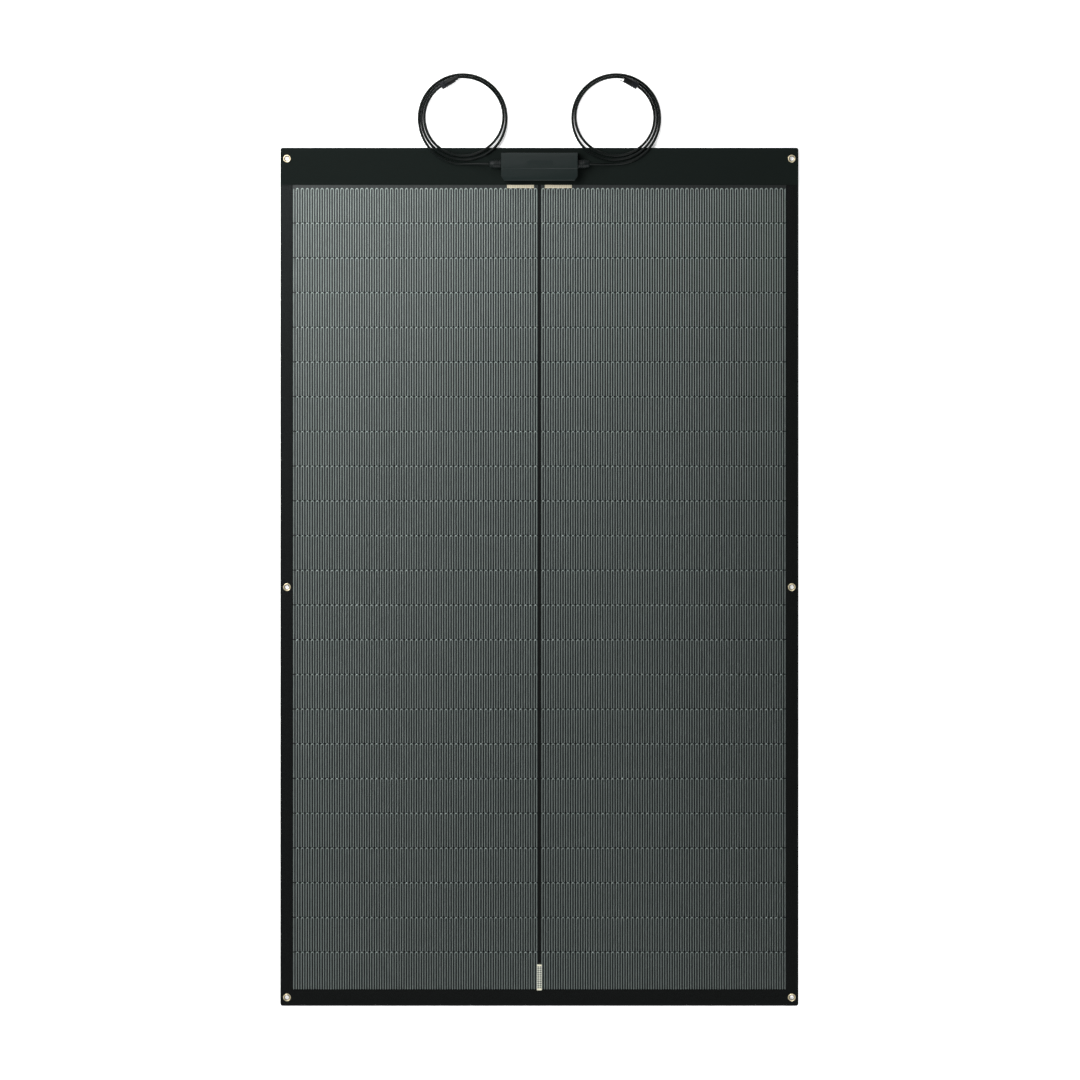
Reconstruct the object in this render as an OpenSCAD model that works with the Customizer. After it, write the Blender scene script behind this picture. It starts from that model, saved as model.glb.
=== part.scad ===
// Flexible solar sheet: thin-film cells and their wire foils between a clear front film and a back
// sheet, six eyelets, and a flat junction box with two coiled leads.
// Millimetres. The back face lies at z = 0 with its centre at the origin, the sunny side faces +Z,
// and the junction box is at the +Y end. The sheet bends about lines along X: it is built as a row
// of strips, split in the gaps between cell rows, and each strip hinges on the one above it.

/* [Sheet] */
// Width of the sheet, across the two columns of cells
sheet_w = 670; // [668:1:700]
// Height of the sheet, along the way it bends
sheet_h = 1110; // [1108:1:1130]
// Thickness of the back sheet with its encapsulant
back_t = 0.8; // [0.6:0.1:1.2]
// Thickness of the clear front film with its encapsulant
front_t = 1.0; // [0.8:0.1:1.4]
// Radius of the four corners
corner_r = 3; // [1:0.5:5]
// Clearance between one strip of the sheet and the next
seam_gap = 0.5; // [0.4:0.1:0.6]

/* [Cells] */
// Distance from the top edge of the sheet to the wires of the first row
cells_margin = 52; // [50:1:54]
// Height of one row of cells, with its gap
row_pitch = 44.9; // [44:0.1:45]
// Gap between two rows of cells
row_gap = 1.0; // [0.9:0.1:1.4]
// Width of one column of cells
column_w = 317; // [300:1:317]
// Gap between the two columns
column_gap = 4; // [3:0.5:5]
// Thickness of a cell
cell_t = 0.2; // [0.2:0.05:0.3]
// Thickness of the wire foil on a cell
wires_t = 0.1; // [0.1:0.05:0.2]

/* [Eyelets] */
// Diameter of the hole through an eyelet
eyelet_hole_d = 5; // [4:0.5:6]
// Diameter of the flange of an eyelet
eyelet_d = 10.4; // [9:0.2:12]
// Distance from the centre line of the sheet to an eyelet
eyelet_x = 326.5; // [325:0.5:328]
// Distance from the top edge to the top eyelets
eyelet_top = 14; // [12:1:18]
// Distance from the bottom edge to the bottom eyelets
eyelet_bottom = 11; // [10:1:14]

/* [Junction box] */
// Width of the box, along X
box_w = 99; // [96:1:104]
// Depth of the box, along Y
box_d = 36; // [34:1:38]
// Height of the box, with its lid
box_h = 16; // [16:1:18]
// Distance from the top edge of the sheet to the box
box_margin = 6.5; // [6:0.5:8]
// Thickness of the box walls
box_wall = 2.5; // [2.5:0.1:3]

/* [Leads] */
// Diameter of the cable
cable_d = 3.2; // [2.8:0.1:3.2]
// Radius of the outer turn of each coil
coil_r = 56.6; // [56.6:0.2:59]
// Distance from the centre line of the sheet to the centre of a coil
coil_x = 99.3; // [99:0.1:104]
// Distance from the centre of the sheet to the centre of a coil, along Y
coil_y = 593.3; // [593:0.1:596]

/* [Hidden] */
// The sheet's layers
sheet_top = sheet_h / 2;
sheet_bottom = -sheet_h / 2;
laminate_t = back_t + front_t;
cell_z = back_t;
ribbon_z = back_t + cell_t;
ribbon_t = 0.2;

// Cell rows and the strips that carry them
rows = 23;
first_strip_rows = 3;
strip_rows = 4;
strips = 1 + (rows - first_strip_rows) / strip_rows;
cells_top = sheet_top - cells_margin;
first_row_extra = 6;
last_row_extra = 4;
wires_in = 1.6;
wires_out = 0.4;
function row_top(r) = cells_top - r * row_pitch;
function first_row(k) = k == 1 ? 0 : first_strip_rows + (k - 2) * strip_rows;
function row_count(k) = k == 1 ? first_strip_rows : strip_rows;
function strip_top(k) = k == 1 ? sheet_top : row_top(first_row(k)) - seam_gap / 2;
function strip_bottom(k) = k == strips ? sheet_bottom : row_top(first_row(k + 1)) + seam_gap / 2;

// Cover strip, adhesive pad and ribbons
strip_t = 0.4;
cover_d = 48;
cover_bottom = sheet_top - cover_d;
cover_z = laminate_t;
pad_z = cover_z + strip_t;
pad_t = 0.8;
pad_inset = 1;
ribbon_w = 35;
ribbon_in = 7;
ribbon_bottom = cells_top - 0.2;
riser_w = 12;
riser_t = 0.3;
riser_x = 26;
riser_y = 528;
riser_h = 7;
slot_clear = 0.5;
cross_w = 7;
cross_top = -501.4;
cross_h = 33.5;

// Eyelets
barrel_t = 0.5;
flange_t = 0.5;
washer_t = 0.4;
washer_r = eyelet_d / 2 - 0.4;
barrel_r = eyelet_hole_d / 2 + barrel_t;
eyelet_rows = [sheet_top - eyelet_top, row_top(11) - row_pitch / 2, sheet_bottom + eyelet_bottom];
eyelet_strips = [1, 4, strips];

// Junction box
box_z = pad_z + pad_t;
box_top = sheet_top - box_margin;
box_bottom = box_top - box_d;
lid_h = 3.5;
lid_z = box_z + box_h - lid_h;
box_floor = 2;
floor_z = box_z + box_floor;
chamfer_x = 4;
chamfer_y = 6;
bevel_y = 5.8;
step_y = 20;
step_h = 0.8;
front_edge = 2;
lip_h = 1.5;
lip_t = 1.2;
lip_clear = 0.15;
seal_w = 1;
seal_h = 0.8;

// Glands, on the axis of the leads
gland_y = 534;
gland_z = 10;
gland_r = 5.5;
gland_nut_l = 10;
gland_snout_l = 5.5;
gland_snout_r = 4.6;
gland_l = gland_nut_l + gland_snout_l;
gland_seal_r = 4.2;
gland_seal_l = 7;
gland_seal_in = 1;
cable_clear = 0.3;
box_side = box_w / 2;

// Parts inside the box
clip_w = 16;
clip_d = 10;
clip_h = 7.5;
conductor_r = 0.9;
conductor_in = 6;
cable_end = 44;
diode_r = 2.5;
diode_l = 9;
diode_lead_r = 0.5;
diode_z = 8;

// Leads: round numbers along the lead, then the turns of the coil
cable_r = cable_d / 2;
cable_sides = 8;
coil_gap = 3.4;
inner_gap = 8.2;
last_gap = 6.8;
coil_end = 866;
coil_step = 18;
sheet_rest_z = pad_z + cable_r;
lead_points = [[44, 534, 10], [55, 534, 10], [66, 534, 10], [76, 534, 8.6], [88, 534, 5.2]];
rise = 48;
connector_z = 7.5;
connector_in = 4;

// Connectors
nut_r = 4.6;
nut_l = 6;
plug_r = 4.3;
plug_l = 13.5;
nose_l = 4.5;
nose_r = 2.7;
cavity_r = 2.9;
contact_r = 1;
socket_r = 1.5;
prong_in = 5;

function two_digits(k) = k < 10 ? str("0", k) : str(k);

// ---- Shared shapes ----

// The same thing on the left and on the right
module both_sides() {
    children();
    mirror([1, 0, 0]) children();
}

// A box from one corner to the other
module block(from, to) {
    translate(from) cube(to - from);
}

// A cylinder along +X that starts at the origin
module rod(r, l) {
    rotate([0, 90, 0]) cylinder(r = r, h = l, $fn = 48);
}

// The sheet's outline
module sheet_outline() {
    inner_w = sheet_w - 2 * corner_r;
    inner_h = sheet_h - 2 * corner_r;
    square([sheet_w, inner_h], center = true);
    square([inner_w, sheet_h], center = true);
    for (x = [-1, 1], y = [-1, 1])
        translate([x * inner_w / 2, y * inner_h / 2]) circle(r = corner_r, $fn = 32);
}

// A layer of the sheet between two heights along Y
module layer(z, t, y_low, y_high) {
    translate([0, 0, z]) linear_extrude(t) intersection() {
        sheet_outline();
        translate([-sheet_w / 2, y_low]) square([sheet_w, y_high - y_low]);
    }
}

// The holes for the eyelets of one strip
module eyelet_holes(k) {
    for (i = [0:2], side = [-1, 1])
        if (eyelet_strips[i] == k)
            translate([side * eyelet_x, eyelet_rows[i], -1]) cylinder(r = barrel_r, h = 10, $fn = 48);
}

// Lower edge of the cell of row r
function cell_bottom(r) = row_top(r + 1) + row_gap / 2 - (r == rows - 1 ? last_row_extra : 0);

// One cell of row r, in the right-hand column
module cell(r) {
    top = row_top(r) - row_gap / 2 + (r == 0 ? first_row_extra : 0);
    block([column_gap / 2, cell_bottom(r), cell_z], [column_gap / 2 + column_w, top, ribbon_z]);
}

// The foil that holds the wires down on the cell of row r, clear of the ribbons
module wire_foil(r) {
    block([column_gap / 2 + wires_in, cell_bottom(r), ribbon_z],
        [column_gap / 2 + column_w - wires_out, row_top(r) - row_gap / 2, ribbon_z + wires_t]);
}

module strip_cells(k) {
    for (r = [first_row(k):first_row(k) + row_count(k) - 1]) both_sides() cell(r);
}

module strip_foils(k) {
    for (r = [first_row(k):first_row(k) + row_count(k) - 1]) both_sides() wire_foil(r);
}

// ---- The sheet ----

module back_sheet(k) {
    color("#1c1e1e") difference() {
        layer(0, back_t, strip_bottom(k), strip_top(k));
        eyelet_holes(k);
        for (i = [0:2], side = [-1, 1])
            if (eyelet_strips[i] == k)
                translate([side * eyelet_x, eyelet_rows[i], -1])
                    cylinder(r = washer_r, h = 1 + washer_t, $fn = 48);
    }
}

module cells(k) {
    color("#4c5352") strip_cells(k);
}

module wire_foils(k) {
    color("#9aa09e") strip_foils(k);
}

module front_film(k) {
    color("#c8d0d0", 0.3) difference() {
        layer(cell_z, front_t, strip_bottom(k), strip_top(k));
        strip_cells(k);
        strip_foils(k);
        eyelet_holes(k);
        if (k == 1) both_sides() terminal_ribbon();
        if (k == strips) cross_ribbon_shape();
    }
}

module cover_strip() {
    color("#202725") difference() {
        layer(cover_z, strip_t, cover_bottom, sheet_top);
        eyelet_holes(1);
        both_sides() riser_slot();
    }
}

// A ribbon runs under the cover strip, then turns up into the junction box
module terminal_ribbon() {
    block([ribbon_in, ribbon_bottom, ribbon_z], [ribbon_in + ribbon_w, riser_y, ribbon_z + ribbon_t]);
    block([riser_x - riser_w / 2, riser_y - riser_t, ribbon_z],
        [riser_x + riser_w / 2, riser_y, ribbon_z + riser_h]);
}

// The slot that a ribbon passes on its way up
module riser_slot() {
    block([riser_x - riser_w / 2 - slot_clear, riser_y - riser_t - slot_clear, 0],
        [riser_x + riser_w / 2 + slot_clear, riser_y + slot_clear, floor_z + 1]);
}

module terminal_ribbons() {
    color("#b4aa96") both_sides() terminal_ribbon();
}

module cross_ribbon_shape() {
    block([-cross_w / 2, cross_top - cross_h, ribbon_z], [cross_w / 2, cross_top, ribbon_z + ribbon_t]);
}

module cross_ribbon() {
    color("#a09f93") cross_ribbon_shape();
}

// ---- Eyelets ----

// A flange on top and a barrel down to the back face
module eyelets(i) {
    seat = i == 0 ? pad_z : laminate_t;
    color("#b8a878") for (side = [-1, 1])
        translate([side * eyelet_x, eyelet_rows[i], 0]) rotate_extrude($fn = 64)
            polygon([
                [eyelet_hole_d / 2, 0], [barrel_r, 0], [barrel_r, seat], [eyelet_d / 2, seat],
                [eyelet_d / 2 - 0.3, seat + flange_t], [eyelet_hole_d / 2, seat + flange_t]
            ]);
}

module washers(i) {
    color("#b8a878") for (side = [-1, 1])
        translate([side * eyelet_x, eyelet_rows[i], 0]) difference() {
            cylinder(r = washer_r, h = washer_t, $fn = 48);
            translate([0, 0, -1]) cylinder(r = barrel_r, h = 3, $fn = 48);
        }
}

// ---- Junction box ----

module adhesive_pad() {
    color("#101010") difference() {
        block([pad_inset - box_side, box_bottom + pad_inset + chamfer_y, pad_z],
            [box_side - pad_inset, box_top - pad_inset, box_z]);
        both_sides() riser_slot();
    }
}

// The box seen from above, shrunk by an inset all round
module box_plan(inset = 0) {
    x = box_side - inset;
    low = box_bottom + inset;
    high = box_top - inset;
    polygon([
        [-x, high], [-x, low + chamfer_y], [-x + chamfer_x, low],
        [x - chamfer_x, low], [x, low + chamfer_y], [x, high]
    ]);
}

module box_base() {
    color("#212926") difference() {
        translate([0, 0, box_z]) linear_extrude(lid_z - box_z) box_plan();
        translate([0, 0, floor_z]) linear_extrude(box_h) box_plan(box_wall);
        seal_shape();
        both_sides() riser_slot();
        both_sides() translate([box_side - box_wall - 1, gland_y, gland_z])
            rod(cable_r + cable_clear, box_wall + 2);
    }
}

module seal_shape() {
    groove = (box_wall - seal_w) / 2;
    translate([0, 0, lid_z - seal_h]) linear_extrude(seal_h) difference() {
        box_plan(groove);
        box_plan(groove + seal_w);
    }
}

module lid_seal() {
    color("#303030") seal_shape();
}

// The lid's section: a bevel at the back, a flat top, a small step and a lower front half
module lid_section() {
    top = box_h - (lid_z - box_z);
    polygon([
        [box_bottom, 0], [box_top, 0], [box_top, 0.5], [box_top - bevel_y, top],
        [box_top - step_y, top], [box_top - step_y - step_h, top - step_h],
        [box_bottom + front_edge, top - step_h], [box_bottom, top - step_h - front_edge / 2]
    ]);
}

module box_lid() {
    color("#272f30") {
        translate([0, 0, lid_z]) intersection() {
            linear_extrude(lid_h) box_plan();
            rotate([90, 0, 90]) translate([0, 0, -box_side]) linear_extrude(box_w) lid_section();
        }
        translate([0, 0, lid_z - lip_h]) linear_extrude(lip_h) difference() {
            box_plan(box_wall + lip_clear);
            box_plan(box_wall + lip_clear + lip_t);
        }
    }
}

// ---- Inside the junction box ----

module terminal_clips() {
    color("#9c8f70") both_sides() difference() {
        block([riser_x - clip_w / 2, riser_y, floor_z],
            [riser_x + clip_w / 2, riser_y + clip_d, floor_z + clip_h]);
        translate([riser_x + clip_w / 2 - conductor_in, gland_y, gland_z]) rod(conductor_r + 0.05, 20);
    }
}

module conductors() {
    start = riser_x + clip_w / 2 - conductor_in;
    color("#b87333") both_sides() translate([start, gland_y, gland_z]) rod(conductor_r, cable_end - start);
}

module bypass_diode() {
    gap = riser_x - clip_w / 2;
    color("#181818") translate([0, gland_y, diode_z]) {
        translate([-diode_l / 2, 0, 0]) rod(diode_r, diode_l);
        translate([-gap, 0, 0]) rod(diode_lead_r, 2 * gap);
    }
}

// ---- Glands ----

// A twelve-sided clamping nut and a smaller snout, bored for the seal and the cable
module gland_nuts() {
    color("#26292b") both_sides() translate([box_side, gland_y, gland_z]) difference() {
        union() {
            rotate([0, 90, 0]) cylinder(r = gland_r, h = gland_nut_l, $fn = 12);
            rod(gland_snout_r, gland_l);
        }
        translate([-1, 0, 0]) rod(cable_r + cable_clear, gland_l + 2);
        translate([gland_seal_in, 0, 0]) rod(gland_seal_r, gland_seal_l);
    }
}

module gland_seals() {
    color("#3a3a3a") both_sides() translate([box_side + gland_seal_in, gland_y, gland_z]) difference() {
        rod(gland_seal_r, gland_seal_l);
        translate([-1, 0, 0]) rod(cable_r, gland_seal_l + 2);
    }
}

// ---- Leads ----

function smooth(t) = t <= 0 ? 0 : t >= 1 ? 1 : t * t * (3 - 2 * t);

// Radius of the coil after a turn of a degrees from its lowest point
function coil_radius(a) =
    a < 90 ? coil_r + (coil_y - coil_r - gland_y) * pow(cos(a), 2)
    : a < 612 ? coil_r - coil_gap * smooth((a - 300) / 72)
    : a < 720 ? coil_r - coil_gap - (inner_gap - coil_gap) * smooth((a - 612) / 108)
    : coil_r - inner_gap + (inner_gap - last_gap) * smooth((a - 720) / 120);

// The cable lies on the sheet, comes down past the sheet's edge, and rises into the connector
function coil_height(a, y) =
    cable_r + (sheet_rest_z - cable_r) * smooth((sheet_top + 50 - y) / 48)
    + (connector_z - cable_r) * smooth((a - coil_end + rise) / rise);

function coil_point(a) =
    let (y = coil_y - coil_radius(a) * cos(a))
    [coil_x + coil_radius(a) * sin(a), y, coil_height(a, y)];

connector_start = coil_point(coil_end);
connector_turn = coil_end - 720 + 6;
connector_way = [cos(connector_turn), sin(connector_turn), 0];

cable_route = concat(
    lead_points,
    [for (a = [0:coil_step:coil_end - 8]) coil_point(a)],
    [connector_start, connector_start + connector_way * connector_in]
);

function unit(v) = v / norm(v);
function way(p, i) = unit(p[min(i + 1, len(p) - 1)] - p[max(i - 1, 0)]);

// A ring of points round the route at point i
function ring(p, i, r, n) =
    let (along = way(p, i), side = unit(cross([0, 0, 1], along)), up = cross(along, side))
    [for (j = [0:n - 1]) p[i] + r * (side * cos(360 * j / n) + up * sin(360 * j / n))];

module tube(p, r, n) {
    points = [for (i = [0:len(p) - 1]) each ring(p, i, r, n)];
    last = (len(p) - 1) * n;
    walls = [
        for (i = [0:len(p) - 2], j = [0:n - 1])
            [i * n + j, i * n + (j + 1) % n, (i + 1) * n + (j + 1) % n, (i + 1) * n + j]
    ];
    ends = [[for (j = [n - 1:-1:0]) j], [for (j = [0:n - 1]) last + j]];
    polyhedron(points, concat(walls, ends), convexity = 6);
}

module cable() {
    color("#141616") tube(cable_route, cable_r, cable_sides);
}

module cable_left() {
    mirror([1, 0, 0]) cable();
}

module cable_right() {
    cable();
}

// ---- Connectors, each along +X from the end of its cable ----

module at_cable_end() {
    translate(connector_start) rotate([0, 0, connector_turn]) children();
}

module connector_nut() {
    difference() {
        rod(nut_r, nut_l);
        translate([-1, 0, 0]) rod(cable_r + cable_clear, nut_l + 2);
        for (a = [0:45:315]) rotate([a, 0, 0]) block([1.2, -0.5, nut_r - 0.6], [nut_l - 0.8, 0.5, nut_r + 1]);
    }
}

module connector_nuts() {
    color("#1a1d1f") both_sides() at_cable_end() connector_nut();
}

module socket_body() {
    color("#1a1d1f") mirror([1, 0, 0]) at_cable_end() translate([nut_l, 0, 0]) difference() {
        union() {
            rod(plug_r, plug_l);
            rod(nose_r, plug_l + nose_l);
        }
        translate([3, 0, 0]) rod(socket_r, plug_l + nose_l);
        for (side = [0, 1]) mirror([0, side, 0])
            block([plug_l - prong_in, nose_r + 0.2, -1.7], [plug_l + 1, plug_r + 1, 1.7]);
    }
}

module socket_contact() {
    color("#b8b8b0") mirror([1, 0, 0]) at_cable_end() translate([nut_l + 3, 0, 0]) difference() {
        rod(socket_r, plug_l + nose_l - 4);
        translate([2, 0, 0]) rod(contact_r + 0.05, plug_l + nose_l);
    }
}

// A sleeve round the pin, with two latching prongs
module plug_body() {
    color("#1a1d1f") at_cable_end() translate([nut_l, 0, 0]) {
        difference() {
            rod(plug_r, plug_l);
            translate([3, 0, 0]) rod(cavity_r, plug_l);
        }
        for (side = [0, 1]) mirror([0, side, 0]) translate([plug_l, 0, -1.5]) linear_extrude(3)
            polygon([[-1, 3], [-1, 3.9], [2.4, 3.9], [3, 4.6], [nose_l, 3.6], [nose_l, 3]]);
    }
}

module plug_pin() {
    color("#b8b8b0") at_cable_end() translate([nut_l + 3, 0, 0]) {
        rod(contact_r + 1, 2);
        rod(contact_r, plug_l + nose_l - 5);
    }
}

for (k = [1:strips]) {
    back_sheet(k);
    cells(k);
    wire_foils(k);
    front_film(k);
}
cover_strip();
terminal_ribbons();
cross_ribbon();
eyelets(0);  // eyelets_top
eyelets(1);  // eyelets_middle
eyelets(2);  // eyelets_bottom
washers(0);  // washers_top
washers(1);  // washers_middle
washers(2);  // washers_bottom
adhesive_pad();
box_base();
box_lid();
lid_seal();
bypass_diode();
terminal_clips();
conductors();
gland_nuts();
gland_seals();
cable_left();
cable_right();
connector_nuts();
socket_body();
socket_contact();
plug_body();
plug_pin();
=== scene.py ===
"""Looks of the flexible solar sheet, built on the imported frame.

The row frame is in metres. Values given in millimetres are multiplied by MM where they are used.
"""
import math
import random

import bmesh
import bpy
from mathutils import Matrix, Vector


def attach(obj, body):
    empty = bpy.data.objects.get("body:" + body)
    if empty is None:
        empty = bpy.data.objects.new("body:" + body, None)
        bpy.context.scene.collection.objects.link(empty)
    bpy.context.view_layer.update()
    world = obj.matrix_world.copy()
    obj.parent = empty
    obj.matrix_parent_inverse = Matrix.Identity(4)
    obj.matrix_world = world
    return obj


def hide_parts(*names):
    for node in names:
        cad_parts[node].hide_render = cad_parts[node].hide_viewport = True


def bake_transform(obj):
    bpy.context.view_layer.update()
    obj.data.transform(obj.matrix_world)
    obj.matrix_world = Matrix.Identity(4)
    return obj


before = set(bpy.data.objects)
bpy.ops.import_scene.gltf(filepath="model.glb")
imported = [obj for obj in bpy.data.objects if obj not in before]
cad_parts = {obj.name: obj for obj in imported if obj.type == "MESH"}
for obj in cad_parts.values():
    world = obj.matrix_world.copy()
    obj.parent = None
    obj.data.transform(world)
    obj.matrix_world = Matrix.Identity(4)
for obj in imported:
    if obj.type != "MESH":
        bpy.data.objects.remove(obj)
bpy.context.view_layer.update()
scene = bpy.context.scene
scene.view_settings.view_transform = "Standard"
MM = 0.001
# Points this close are the same point, and heights along the sheet this close are at the same place
NEAR, BESIDE = 1e-6, 0.3 * MM

# ---- The sheet's layout, as the frame has it ----
PITCH, CELLS_TOP, ROWS, HINGE_ROWS = 44.9 * MM, 503 * MM, 23, (3, 7, 11, 15, 19)
HALF_H, FOIL_Z, FILM_Z = 555 * MM, 1.0 * MM, 1.8 * MM


def row_top(r):
    return CELLS_TOP - r * PITCH


HINGES = [row_top(r) for r in HINGE_ROWS]
BODIES = ["box_end"] + [f"strip_{k:02d}" for k in range(2, 7)]
STRIPS = len(BODIES)
# The sheet is shown as seven bands: a rigid one at each end, and between them one round each hinge
BAND_STARTS = (0, 1, 5, 9, 13, 17, 21, ROWS)
BANDS = len(BAND_STARTS) - 1
SEAMS = [row_top(r) for r in BAND_STARTS[1:-1]]
EDGES = [HALF_H + MM] + SEAMS + [-HALF_H - MM]
# The cuts round each hinge span the height of one row, half of it on either side of the hinge
ZONE, ZONE_STEPS = PITCH / 2, 7
CUTS = [h + k * ZONE / ZONE_STEPS for h in HINGES for k in range(ZONE_STEPS, -ZONE_STEPS - 1, -1)]

# ---- Camera and light ----
VIEW_SIZE, VIEW_X, VIEW_Y, VIEW_Z = 1.397, 0.0008, 0.0476, 3
camera = bpy.data.objects.new("camera", bpy.data.cameras.new("camera"))
camera.data.type = "ORTHO"
camera.data.ortho_scale = VIEW_SIZE
camera.location = (VIEW_X, VIEW_Y, VIEW_Z)
scene.collection.objects.link(camera)
scene.camera = camera

# Square lights: name, place, point it aims at, side, power
LIGHTS = (
    ("key", (-0.64, 0.84, 1.12), (-0.34, 0.46, 0), 0.7, 20.5),
    ("fill_west", (-1.9, -0.1, 1.25), (-0.1, -0.1, 0), 1.4, 24),
    ("fill_east", (2.7, -0.9, 1.5), (0, -0.4, 0), 1.5, 9),
    ("fill_north", (-0.9, 2.7, 1.65), (-0.2, 0, 0), 1.5, 56),
    ("fill_south", (0.5, -2.4, 1.35), (0.15, -0.3, 0), 1.5, 100),
)
for name, place, aim, size, power in LIGHTS:
    data = bpy.data.lights.new(name, "AREA")
    data.energy, data.size = power, size
    light = bpy.data.objects.new(name, data)
    light.location = place
    light.rotation_euler = (Vector(aim) - Vector(place)).to_track_quat("-Z", "Y").to_euler()
    light.visible_camera = False
    scene.collection.objects.link(light)


def node_set(tree, kind, **values):
    """A new node of a tree, with these inputs or settings."""
    n = tree.nodes.new(kind)
    for key, value in values.items():
        if key in n.inputs:
            n.inputs[key].default_value = value
        else:
            setattr(n, key, value)
    return n


def link_all(tree, *pairs):
    for source, target in pairs:
        tree.links.new(source, target)


def studio_world():
    """White behind everything for the camera, and a faint cool light for everything else."""
    world = bpy.data.worlds.new("studio")
    world.use_nodes = True
    t = world.node_tree
    t.nodes.clear()
    seen = node_set(t, "ShaderNodeBackground", Color=(1, 1, 1, 1), Strength=1.0)
    soft = node_set(t, "ShaderNodeBackground", Color=(0.9, 1, 0.98, 1), Strength=0.06)
    path = node_set(t, "ShaderNodeLightPath")
    mix = node_set(t, "ShaderNodeMixShader")
    out = node_set(t, "ShaderNodeOutputWorld")
    link_all(t, (path.outputs["Is Camera Ray"], mix.inputs[0]), (soft.outputs[0], mix.inputs[1]),
             (seen.outputs[0], mix.inputs[2]), (mix.outputs[0], out.inputs[0]))
    return world


scene.world = studio_world()


# ---- Materials ----
def shade(name, dark, light, rough, metal=0.0, grain=500, detail=3, spread=0.08, bump=0.0,
          stretch=(1, 1, 1), specular=0.5, emit=0.0):
    """A procedural material: noise between two tones, with roughness and bump from the same noise."""
    m = bpy.data.materials.new(name)
    m.use_nodes = True
    t = m.node_tree
    b = t.nodes["Principled BSDF"]
    where = node_set(t, "ShaderNodeTexCoord")
    scale = node_set(t, "ShaderNodeMapping", Scale=stretch)
    noise = node_set(t, "ShaderNodeTexNoise", Scale=grain, Detail=detail, Roughness=0.6)
    tone = node_set(t, "ShaderNodeMix", data_type="RGBA")
    tone_a, tone_b, tone_out = tone.inputs[6], tone.inputs[7], tone.outputs[2]
    tone_a.default_value, tone_b.default_value = (*dark, 1), (*light, 1)
    wear = node_set(t, "ShaderNodeMapRange",
                    **{"To Min": max(0.02, rough - spread), "To Max": min(1.0, rough + spread)})
    link_all(t, (where.outputs["Object"], scale.inputs["Vector"]),
             (scale.outputs[0], noise.inputs["Vector"]), (noise.outputs[0], tone.inputs[0]),
             (tone_out, b.inputs["Base Color"]), (noise.outputs[0], wear.inputs[0]),
             (wear.outputs[0], b.inputs["Roughness"]))
    b.inputs["Metallic"].default_value = metal
    b.inputs["Specular IOR Level"].default_value = specular
    if bump:
        relief = node_set(t, "ShaderNodeBump", Strength=1.0, Distance=bump)
        link_all(t, (noise.outputs[0], relief.inputs["Height"]), (relief.outputs[0], b.inputs["Normal"]))
    if emit:
        b.inputs["Emission Color"].default_value = (1, 1, 1, 1)
        b.inputs["Emission Strength"].default_value = emit
    return m


def clear_film(name):
    """Clear satin polymer: lets the light through, with a weak speckled reflection off its embossed face."""
    m = bpy.data.materials.new(name)
    m.use_nodes = True
    t = m.node_tree
    t.nodes.clear()
    where = node_set(t, "ShaderNodeTexCoord")
    noise = node_set(t, "ShaderNodeTexNoise", Scale=620, Detail=2, Roughness=0.5)
    relief = node_set(t, "ShaderNodeBump", Strength=1.0, Distance=0.00005)
    gloss = node_set(t, "ShaderNodeBsdfAnisotropic", Roughness=0.45, Color=(0.87, 1, 0.98, 1))
    clear = node_set(t, "ShaderNodeBsdfTransparent", Color=(0.97, 0.99, 0.985, 1))
    edge = node_set(t, "ShaderNodeFresnel", IOR=1.205)
    speckle = node_set(t, "ShaderNodeMapRange",
                       **{"From Min": 0.3, "From Max": 0.7, "To Min": 0.45, "To Max": 1.55})
    share = node_set(t, "ShaderNodeMath", operation="MULTIPLY")
    both = node_set(t, "ShaderNodeMixShader")
    out = node_set(t, "ShaderNodeOutputMaterial")
    link_all(t, (where.outputs["Object"], noise.inputs["Vector"]),
             (noise.outputs[0], relief.inputs["Height"]), (relief.outputs[0], gloss.inputs["Normal"]),
             (noise.outputs[0], speckle.inputs[0]), (edge.outputs[0], share.inputs[0]),
             (speckle.outputs[0], share.inputs[1]), (share.outputs[0], both.inputs[0]),
             (clear.outputs[0], both.inputs[1]), (gloss.outputs[0], both.inputs[2]),
             (both.outputs[0], out.inputs[0]))
    return m


def braid(name, light, dark, pitch):
    """Tinned braid: a diamond pattern of strands."""
    m = shade(name, dark, light, 0.42, metal=0.35, grain=900, bump=0.00003)
    t = m.node_tree
    where = node_set(t, "ShaderNodeTexCoord")
    turn = node_set(t, "ShaderNodeMapping", Rotation=(0, 0, math.radians(45)))
    check = node_set(t, "ShaderNodeTexChecker", Scale=1 / pitch, Color1=(*light, 1), Color2=(*dark, 1))
    link_all(t, (where.outputs["Object"], turn.inputs["Vector"]), (turn.outputs[0], check.inputs["Vector"]),
             (check.outputs[0], t.nodes["Principled BSDF"].inputs["Base Color"]))
    return m


floor_look = shade("pale_floor", (0.84, 0.84, 0.84), (0.88, 0.88, 0.88), 0.9,
                   grain=3, specular=0.1, emit=0.45)
back_look = shade("back_sheet", (0.0004, 0.0004, 0.0004), (0.0034, 0.0031, 0.0031), 0.8,
                  grain=520, detail=1, bump=0.00006, specular=0.04)
cell_look = shade("cell", (0.0012, 0.0018, 0.0018), (0.0025, 0.0035, 0.0035), 0.46,
                  grain=120, spread=0.05, bump=0.00001, specular=0.35)
wire_look = shade("wire", (0.19, 0.215, 0.21), (0.28, 0.31, 0.30), 0.42,
                  metal=0.6, grain=260, spread=0.06, bump=0.00002)
film_look = clear_film("front_film")
cover_look = shade("cover_strip", (0.0026, 0.0044, 0.0038), (0.0046, 0.0070, 0.0060), 0.75,
                   grain=750, bump=0.00009, specular=0.05)
pad_look = shade("adhesive", (0.006, 0.006, 0.006), (0.012, 0.012, 0.012), 0.9, grain=1200, bump=0.0001)
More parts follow.
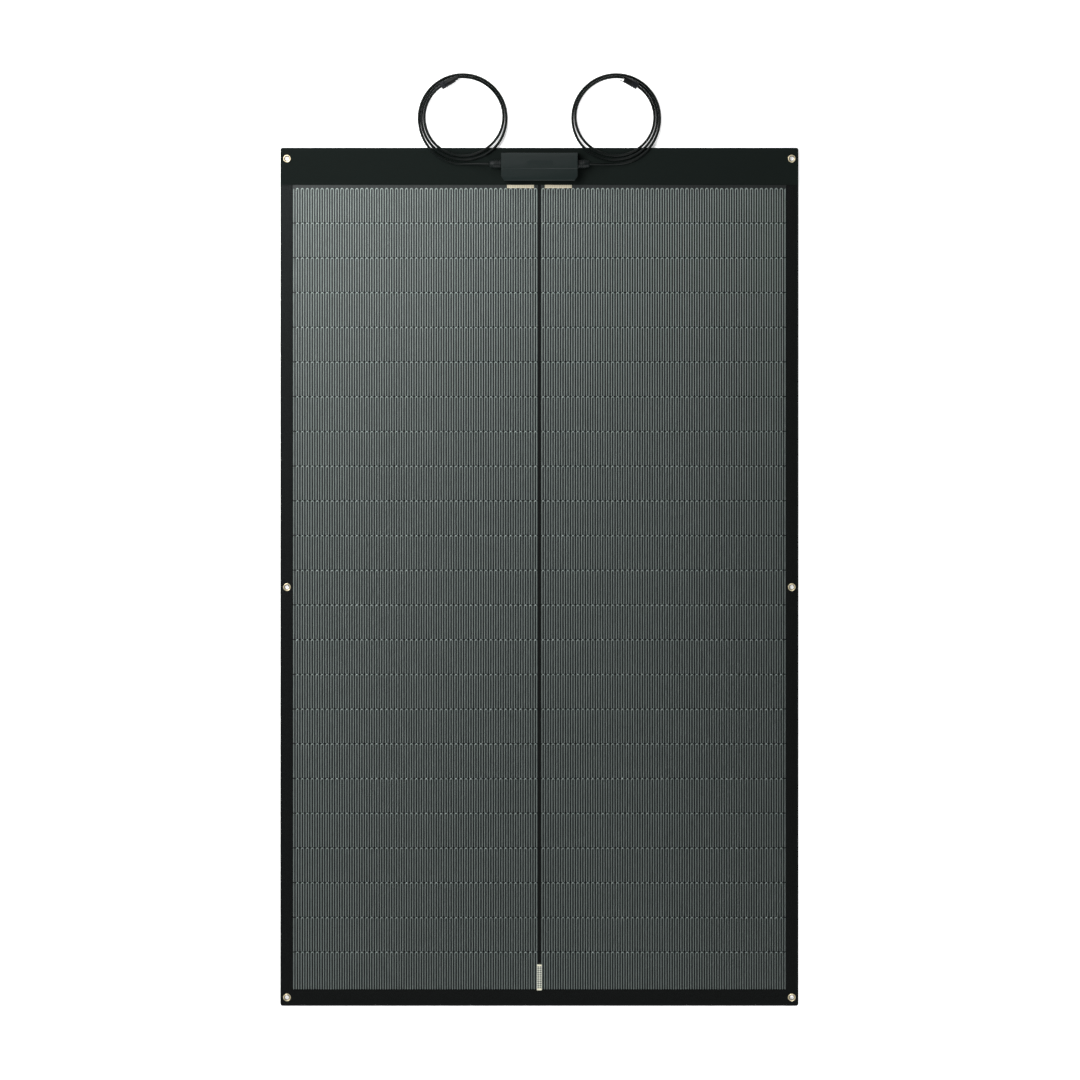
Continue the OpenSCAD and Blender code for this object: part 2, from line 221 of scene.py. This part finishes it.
box_look = shade("box", (0.0034, 0.0068, 0.0063), (0.0046, 0.0086, 0.0080), 0.42,
                 grain=1300, bump=0.00003, specular=0.15)
gland_look = shade("gland", (0.0028, 0.0042, 0.0041), (0.0052, 0.0070, 0.0068), 0.45,
                   grain=900, bump=0.00003, specular=0.12)
cable_look = shade("cable", (0.0016, 0.0026, 0.0023), (0.0026, 0.0040, 0.0036), 0.42,
                   grain=300, bump=0.00001, spread=0.05, specular=0.08)
body_look = shade("connector_body", (0.0014, 0.0016, 0.0017), (0.0028, 0.0031, 0.0032), 0.38,
                  grain=800, bump=0.00003, specular=0.12)
connector_look = shade("connector", (0.0034, 0.0040, 0.0056), (0.0065, 0.0075, 0.0100), 0.42,
                       grain=800, bump=0.00003, specular=0.12)
# The eyelet barrel's inside is a darker copy of the brass: painted shade on the inner wall of the hole
barrel_painted_shade_look = shade("eyelet_barrel", (0.02, 0.017, 0.01), (0.05, 0.043, 0.03), 0.45,
                    metal=0.4, grain=420, spread=0.1, bump=0.00003)
brass_look = shade("eyelet", (0.42, 0.36, 0.22), (0.68, 0.59, 0.41), 0.3,
                   metal=0.6, grain=420, spread=0.1, bump=0.00003)
ribbon_look = braid("tinned_ribbon", (0.68, 0.58, 0.44), (0.46, 0.39, 0.30), 0.0016)
cross_look = braid("cross_ribbon", (0.80, 0.77, 0.69), (0.20, 0.19, 0.165), 0.0020)
solder_look = shade("solder", (0.86, 0.78, 0.60), (0.97, 0.90, 0.74), 0.35,
                    metal=0.15, grain=700, bump=0.00004)
tin_look = shade("tin", (0.4, 0.4, 0.38), (0.6, 0.6, 0.58), 0.3, metal=0.8, grain=500, bump=0.00001)
copper_look = shade("copper", (0.5, 0.24, 0.13), (0.68, 0.36, 0.2), 0.35,
                    metal=1.0, grain=900, bump=0.00003, stretch=(0.1, 1, 1))
seal_look = shade("seal", (0.02, 0.02, 0.02), (0.03, 0.03, 0.03), 0.6, grain=900, bump=0.00002)


# ---- Mesh helpers ----
def piece(name, source, look, smooth=True, sharp=35.0):
    """An object in the row frame from a bmesh or from (points, faces)."""
    mesh = bpy.data.meshes.new(name)
    if isinstance(source, tuple):
        mesh.from_pydata([tuple(p) for p in source[0]], [], source[1])
    else:
        source.to_mesh(mesh)
        source.free()
    if "custom_normal" in mesh.attributes:
        mesh.attributes.remove(mesh.attributes["custom_normal"])
    mesh.materials.append(look)
    if smooth:
        mesh.shade_smooth()
        mesh.set_sharp_from_angle(angle=math.radians(sharp))
    made = bpy.data.objects.new(name, mesh)
    scene.collection.objects.link(made)
    return made


def one_material(bm):
    for f in bm.faces:
        f.material_index = 0
    return bm


def drop_faces(bm, unwanted):
    bmesh.ops.delete(bm, geom=[f for f in bm.faces if unwanted(f)], context="FACES")


def taken(name):
    """A bmesh of a copy of a CAD node, with its flat faces joined."""
    bm = bmesh.new()
    bm.from_mesh(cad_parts[name].data)
    bmesh.ops.remove_doubles(bm, verts=bm.verts, dist=NEAR)
    bmesh.ops.dissolve_limit(bm, angle_limit=math.radians(0.5), verts=bm.verts, edges=bm.edges)
    return one_material(bm)


def soften(obj, width, segments=2):
    """Rounds the edges sharper than 30 degrees."""
    m = obj.modifiers.new("edges", "BEVEL")
    m.width, m.segments, m.limit_method = width, segments, "ANGLE"
    m.angle_limit = math.radians(30)
    return obj


def turned(rings, origin, axis):
    """Points and faces of a closed row of rings round an axis: (distance along it, radius at each step)."""
    a = Vector(axis).normalized()
    side = a.orthogonal().normalized()
    up = a.cross(side)
    points, faces, n, steps = [], [], len(rings), len(rings[0][1])
    for along, radii in rings:
        for j, r in enumerate(radii):
            t = 2 * math.pi * j / steps
            points.append(Vector(origin) + a * along + (side * math.cos(t) + up * math.sin(t)) * r)
    for i in range(n):
        for j in range(steps):
            k, l, p = (j + 1) % steps, i * steps, (i + 1) % n * steps
            faces.append((l + j, l + k, p + k, p + j))
    return points, faces


def lathe(profile, origin, axis, steps):
    """A closed outline of (along, radius) pairs in mm, turned about an axis."""
    return turned([(a * MM, [r * MM] * steps) for a, r in profile], origin, axis)


def ribbed(origin, axis, r, depth, length, ribs, bore):
    """A grip nut: ribs along its axis and eased ends, with a bore."""
    steps = ribs * 4
    outside = [(0, -0.9 * MM), (0.7 * MM, 0), (length - 0.8 * MM, 0), (length, -1.0 * MM)]
    rings = [(along, [r + inset - (depth if j % 4 in (0, 1) else 0) for j in range(steps)])
             for along, inset in outside]
    rings += [(along, [bore] * steps) for along in (length, 0)]
    return turned(rings, origin, axis)


def joined(*shapes):
    points, faces = [], []
    for p, f in shapes:
        faces += [tuple(i + len(points) for i in face) for face in f]
        points += list(p)
    return points, faces


def fixed(obj, body, slot, *nodes):
    """The piece rides on a body and stands for these nodes. The slot is not used."""
    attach(obj, body)
    if nodes:
        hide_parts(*nodes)
    return obj


def strips_of(band):
    """The numbers of the strips that a band spans: two round a hinge, one at each end."""
    return [k for k in (band, band + 1) if 1 <= k <= STRIPS]


def bend(obj, band, slot, *nodes):
    """The band rides on its body if it spans one strip; a band round a hinge stays in the row frame. It stands
    for these nodes.
    """
    bodies = [BODIES[k - 1] for k in strips_of(band)]
    if len(bodies) == 1:
        return fixed(obj, bodies[0], slot, *nodes)
    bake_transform(obj)
    if nodes:
        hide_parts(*nodes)
    return obj


# ---- Floor ----
# It lies just below the lowest point of the bent sheet, which dips by about 1 mm beside each hinge
FLOOR_Z, FLOOR_HALF = -1.1 * MM, 6
corners = [(x * FLOOR_HALF, y * FLOOR_HALF, FLOOR_Z) for x, y in ((-1, -1), (1, -1), (1, 1), (-1, 1))]
floor = piece("floor", (corners, [(0, 1, 2, 3)]), floor_look, False)

# ---- Leads, in mm and degrees; an angle of 0 is the side of the coil that is nearest to the sheet ----
COIL_R, COIL_X, COIL_Y, COIL_STEP = 56.6, 99.3, 593.3, 6
# Where the coil's radius changes: the angle at which it starts, the angle that it takes, the change
COIL_CHANGES = ((300, 72, -3.4), (612, 108, -4.8), (720, 120, 1.4))
# The connector: the angle at which it starts, the angle over which the lead rises to it, and its heading
COIL_END, RISE, HEADING = 866, 48, 152
CABLE_R, SHEATH_R = 1.6, 1.68
REST_Z, CONNECTOR_Z = 3.8, 7.5
# Where the lead has left the floor and where it rests on the sheet
CLIMB_START, CLIMB = 605, 48
GLAND_X, GLAND_Y, GLAND_Z = 49.5, 534.0, 10
# The lead's distance from the middle and its height between the box and the coil
LEAD_START = ((44, 10), (50, 10), (58, 10), (66, 10), (71, 9.6), (76, 8.6), (82, 6.9), (88, 5.2), (94, 4.1))


def smooth(t):
    t = min(1.0, max(0.0, t))
    return t * t * (3 - 2 * t)


def coil_radius(a):
    if a < 90:
        return COIL_R + (COIL_Y - COIL_R - GLAND_Y) * math.cos(math.radians(a)) ** 2
    return COIL_R + sum(change * smooth((a - start) / turn) for start, turn, change in COIL_CHANGES)


def coil_point(a):
    r = coil_radius(a)
    y = COIL_Y - r * math.cos(math.radians(a))
    on_sheet = (REST_Z - CABLE_R) * smooth((CLIMB_START - y) / CLIMB)
    to_connector = (CONNECTOR_Z - CABLE_R) * smooth((a - COIL_END + RISE) / RISE)
    return COIL_X + r * math.sin(math.radians(a)), y, CABLE_R + on_sheet + to_connector


def connector_axis(side):
    heading = math.radians(HEADING)
    return Vector((side * math.cos(heading), math.sin(heading), 0))


def at_axis(side, along):
    """A point on the connector's axis, from where the connector starts."""
    x, y, z = coil_point(COIL_END)
    return Vector((side * x, y, z)) * MM + connector_axis(side) * along * MM


def lead(name, side, node):
    route = [(x, GLAND_Y, z) for x, z in LEAD_START]
    route += [coil_point(a) for a in range(0, COIL_END - COIL_STEP, COIL_STEP)]
    route = [Vector((side * x, y, z)) * MM for x, y, z in route] + [at_axis(side, 0), at_axis(side, 4)]
    curve = bpy.data.curves.new(name, "CURVE")
    curve.dimensions, curve.bevel_depth, curve.bevel_resolution = "3D", SHEATH_R * MM, 5
    curve.use_fill_caps = True
    spline = curve.splines.new("POLY")
    spline.points.add(len(route) - 1)
    for p, at in zip(spline.points, route):
        p.co = (*at, 1)
    spline.use_smooth = True
    curve.materials.append(cable_look)
    made = bpy.data.objects.new(name, curve)
    scene.collection.objects.link(made)
    return fixed(made, "box_end", "cable", node)


lead_left, lead_right = lead("lead_left", -1, "cable_left"), lead("lead_right", 1, "cable_right")

connector_bits = {-1: [], 1: []}
for side, label in ((-1, "left"), (1, "right")):
    nut = ribbed(at_axis(side, 0), connector_axis(side),
                 r=4.6 * MM, depth=0.5 * MM, length=6 * MM, ribs=12, bore=1.7 * MM)
    nut = piece(f"connector_nut_{label}", nut, connector_look)
    connector_bits[side].append(fixed(nut, "box_end", "connector", "connector_nuts"))
COLLAR = [(6.2, 3.9), (6.2, 4.5), (6.7, 4.7), (7.7, 4.7), (8.2, 4.5), (8.2, 3.9)]
for node, side in (("socket_body", -1), ("plug_body", 1)):
    shell = soften(piece(node + "_shell", taken(node), body_look), 0.25 * MM)
    collar = piece(node + "_collar", lathe(COLLAR, at_axis(side, 0), connector_axis(side), 48), connector_look)
    connector_bits[side] += [fixed(shell, "box_end", "connector", node), fixed(collar, "box_end", "connector")]
connector_bits[-1].append(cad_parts["socket_contact"])
connector_bits[1].append(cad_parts["plug_pin"])


# ---- Back sheet, cells and front film, in bands with cuts round each hinge ----
def layer(prefix, unwanted):
    """One bmesh of a layer's strips, with the gaps between strips closed and the bending cuts made."""
    bm = bmesh.new()
    for k in range(1, STRIPS + 1):
        bm.from_mesh(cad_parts[f"{prefix}_{k:02d}"].data)
    for v in bm.verts:
        for h in HINGES:
            if abs(v.co.y - h) < BESIDE:
                v.co.y = h
    bmesh.ops.remove_doubles(bm, verts=bm.verts, dist=2 * NEAR)
    drop_faces(bm, lambda f: any(all(abs(v.co.y - h) < NEAR for v in f.verts) for h in HINGES))
    if unwanted:
        drop_faces(bm, unwanted)
    for y in CUTS + SEAMS:
        bmesh.ops.bisect_plane(bm, geom=bm.verts[:] + bm.edges[:] + bm.faces[:],
                               plane_co=(0, y, 0), plane_no=(0, 1, 0))
    return one_material(bm)


def show_layer(prefix, label, look, slot, unwanted=None):
    whole = layer(prefix, unwanted)
    for band in range(BANDS):
        low, high = EDGES[band + 1], EDGES[band]
        part = whole.copy()
        drop_faces(part, lambda f: not low < f.calc_center_median().y < high)
        made = piece(f"{label}_{band + 1}", part, look)
        bend(made, band, slot, *[f"{prefix}_{k:02d}" for k in strips_of(band)])
    whole.free()


show_layer("back_sheet", "back_sheet_band", back_look, "back_sheet")
show_layer("cells", "cell_band", cell_look, "cell")
# Only the film's outer face is shown
show_layer("front_film", "front_film_band", film_look, "front_film",
           lambda f: max(v.co.z for v in f.verts) < FILM_Z - 1e-5)

# ---- Wires: a serpentine on each cell, with its upper turns in view ----
TURNS, FIRST_TURN_X = 50, 5.0 * MM
# Distance between turns, half the distance between a turn's legs, half width and height of the ridge
LOOP, LEG, WIRE, CREST = 6.415 * MM, 1.62 * MM, 0.49 * MM, 0.26 * MM
BASE = FOIL_Z + 0.03 * MM
# How much wider and higher the ridge is at the top of a turn
TURN_SWELL = 0.5
# From the row's top edge to a turn, from the next row's to the legs' ends, and the last row's extra length
TURN_INSET, LEG_END, LAST_ROW = 0.75 * MM, 0.15 * MM, 4 * MM
# The angles of a turn's points; the last turn stops half way
WHOLE_TURN, LAST_TURN = (180, 157, 130, 100, 80, 50, 23, 0), (180, 160, 140)
wobble = random.Random(7)


def wire_strip(points, faces, line):
    """A low ridge along a line of (x, y, share of the full width and height)."""
    start = len(points)
    for i, (x, y, full) in enumerate(line):
        (x0, y0, _), (x1, y1, _) = line[max(0, i - 1)], line[min(len(line) - 1, i + 1)]
        d = math.hypot(x1 - x0, y1 - y0)
        nx, ny = (y0 - y1) / d * WIRE * full, (x1 - x0) / d * WIRE * full
        points += [(x + nx, y + ny, BASE), (x, y, BASE + CREST * full), (x - nx, y - ny, BASE)]
    for i in range(len(line) - 1):
        for j in (0, 1):
            a = start + 3 * i + j
            faces.append((a, a + 3, a + 4, a + 1))


def row_wires(points, faces, r, side):
    top = row_top(r) - TURN_INSET
    low = row_top(r + 1) + LEG_END - (LAST_ROW if r == ROWS - 1 else 0)
    # A leg has a point at each bending cut in its row, or at each quarter of a row without cuts
    bent = [y for y in CUTS if low + BESIDE < y < top - LEG - BESIDE]
    stops = sorted(bent or [row_top(r) - i * PITCH / 4 for i in (1, 2, 3)], reverse=True) + [low]
    ease = [min(1, (top - LEG - y) / (PITCH / 2)) for y in stops]
    for j in range(TURNS):
        last = j == TURNS - 1
        centre = FIRST_TURN_X + LOOP * j
        crest = top + wobble.uniform(-0.12, 0.08) * MM
        # Four numbers are drawn for each turn, which keeps the pattern; the legs use the first two
        shift = [wobble.uniform(-0.04, 0.04) * MM for _ in range(4)]
        arc = []
        for t in LAST_TURN if last else WHOLE_TURN:
            across, up = math.cos(math.radians(t)), math.sin(math.radians(t))
            arc.append((centre + LEG * across, crest - LEG + LEG * up, 1 + TURN_SWELL * up ** 2))
        line = [(arc[0][0] + shift[0] * e, y, 1) for e, y in reversed(list(zip(ease, stops)))] + arc
        if not last:
            line += [(arc[-1][0] + shift[1] * e, y, 1) for e, y in zip(ease, stops)]
        wire_strip(points, faces, [(side * x, y, full) for x, y, full in line])


for band in range(BANDS):
    points, faces = [], []
    for r in range(BAND_STARTS[band], BAND_STARTS[band + 1]):
        for side in (-1, 1):
            row_wires(points, faces, r, side)
    bm = bmesh.new()
    mesh = bpy.data.meshes.new("wires")
    mesh.from_pydata(points, [], faces)
    bm.from_mesh(mesh)
    bmesh.ops.recalc_face_normals(bm, faces=bm.faces)
    for f in bm.faces:
        if f.normal.z < 0:
            f.normal_flip()
    made = piece(f"wire_band_{band + 1}", bm, wire_look, sharp=80)
    bend(made, band, "wire_foil", *[f"wire_foils_{k:02d}" for k in strips_of(band)])

# ---- Ribbons ----
ribbons = piece("terminal_ribbon_pair", taken("terminal_ribbons"), ribbon_look)
fixed(ribbons, "box_end", "tinned_ribbon", "terminal_ribbons")


def pillow(x, y0, y1, z, rise, n=10):
    """A low rounded pad from -x to x and from y0 to y1, in mm."""
    points, faces = [], []
    for j in range(n + 1):
        for i in range(n + 1):
            u, v = i / n, j / n
            h = (1 - abs(2 * u - 1) ** 4) * (1 - abs(2 * v - 1) ** 4)
            points.append(((2 * u - 1) * x * MM, (y0 + (y1 - y0) * v) * MM, (z + rise * math.sqrt(h)) * MM))
    for j in range(n):
        for i in range(n):
            a = j * (n + 1) + i
            faces.append((a, a + 1, a + n + 2, a + n + 1))
    return points, faces


cross = soften(piece("cross_ribbon_strip", taken("cross_ribbon"), cross_look), 0.08 * MM, 1)
solder = piece("cross_ribbon_solder", joined(pillow(3.0, -503.6, -501.5, 1.19, 0.3),
                                             pillow(3.1, -534.8, -532.3, 1.19, 0.32)), solder_look)
spot = piece("cross_ribbon_seal", pillow(2.6, -501.1, -499.2, 1.02, 0.25), pad_look)
fixed(cross, "strip_06", "tinned_ribbon", "cross_ribbon")
fixed(solder, "strip_06", "tinned_ribbon")
fixed(spot, "strip_06", None)

# ---- Eyelets: label, distance from the middle of the sheet, height of the face they sit on, band; in mm ----
EYELETS = (("top", 541.0, 2.2, 0), ("middle", -13.35, 1.8, 3), ("bottom", -544.0, 1.8, 6))
EYELET_X = 326.5
WASHER = [(0.03, 3.0), (0.40, 3.0), (0.40, 4.75), (0.12, 4.78), (0.0, 4.6), (0.0, 3.3)]
for label, y, seat, band in EYELETS:
    ring = [(seat + 0.1, 3.5), (seat, 3.5), (seat + 0.02, 4.7), (seat + 0.12, 4.9), (seat + 0.27, 4.9),
            (seat + 0.4, 4.75), (seat + 0.49, 4.45), (seat + 0.5, 4.1), (seat + 0.44, 3.75), (seat + 0.3, 3.4)]
    # The barrel's inner wall, narrowing downwards, carries the painted shade inside the hole
    barrel = [(0.05, 2.5), (0.05, 3.0), (seat + 0.1, 3.5), (seat + 0.3, 3.4), (seat + 0.05, 3.2),
              (seat - 0.5, 2.8), (seat - 1.1, 2.53)]
    for side, hand in ((-1, "left"), (1, "right")):
        for kind, outline, look, nodes in (("eyelet", ring, brass_look, [f"eyelets_{label}"]),
                                           ("washer", WASHER, brass_look, [f"washers_{label}"]),
                                           ("eyelet_barrel", barrel, barrel_painted_shade_look, [])):
            shape = lathe(outline, (side * EYELET_X * MM, y * MM, 0), (0, 0, 1), 64)
            bend(piece(f"{kind}_{label}_{hand}", shape, look, sharp=60), band, "eyelet", *nodes)


# ---- Junction box ----
def plate(cx, cy, w, h, r, z0, z1):
    """A raised plate with round corners."""
    outline = []
    for sx, sy, start in ((1, 1, 0), (-1, 1, 90), (-1, -1, 180), (1, -1, 270)):
        for k in range(7):
            t = math.radians(start + 15 * k)
            outline.append((cx + sx * (w / 2 - r) + r * math.cos(t), cy + sy * (h / 2 - r) + r * math.sin(t)))
    n = len(outline)
    points = [(x, y, z) for z in (z0, z1) for x, y in outline]
    faces = [tuple(range(n))[::-1], tuple(range(n, 2 * n))]
    faces += [(i, (i + 1) % n, n + (i + 1) % n, n + i) for i in range(n)]
    return points, faces


lid = soften(piece("box_lid_shell", taken("box_lid"), box_look), 0.45 * MM, 3)
base = soften(piece("box_base_shell", taken("box_base"), box_look), 0.4 * MM)
badge = plate(cx=1 * MM, cy=535.2 * MM, w=34 * MM, h=7.2 * MM, r=2.2 * MM, z0=18.9 * MM, z1=19.14 * MM)
badge = soften(piece("box_lid_plate", badge, box_look), 0.1 * MM)
fixed(lid, "box_end", "box", "box_lid")
fixed(base, "box_end", "box", "box_base")
fixed(badge, "box_end", "box")

# The glands' outline in mm: four ribs, a smooth nose and the bore
GLAND = [(0, 1.7), (0, 5.4)]
for x in (0.6, 2.95, 5.3, 7.65):
    GLAND += [(x, 5.4), (x + 0.25, 5.55), (x + 1.35, 5.55), (x + 1.6, 5.4), (x + 1.7, 4.9), (x + 2.25, 4.9)]
GLAND += [(10.1, 4.9), (10.4, 4.7), (13.4, 4.55), (14.4, 4.2), (15.1, 3.4), (15.5, 2.4), (15.5, 1.7)]
for side, hand in ((-1, "left"), (1, "right")):
    at = (side * GLAND_X * MM, GLAND_Y * MM, GLAND_Z * MM)
    gland = piece(f"gland_{hand}", lathe(GLAND, at, (side, 0, 0), 48), gland_look)
    fixed(gland, "box_end", "gland", "gland_nuts")

# ---- CAD nodes that stay ----
for name, look in (("cover_strip", cover_look), ("adhesive_pad", pad_look), ("lid_seal", seal_look),
                   ("bypass_diode", gland_look), ("terminal_clips", tin_look), ("conductors", copper_look),
                   ("gland_seals", seal_look), ("socket_contact", tin_look), ("plug_pin", tin_look)):
    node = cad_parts[name]
    if node.material_slots:
        for s in node.material_slots:
            s.link = "OBJECT"
            s.material = look
    else:
        node.data.materials.append(look)
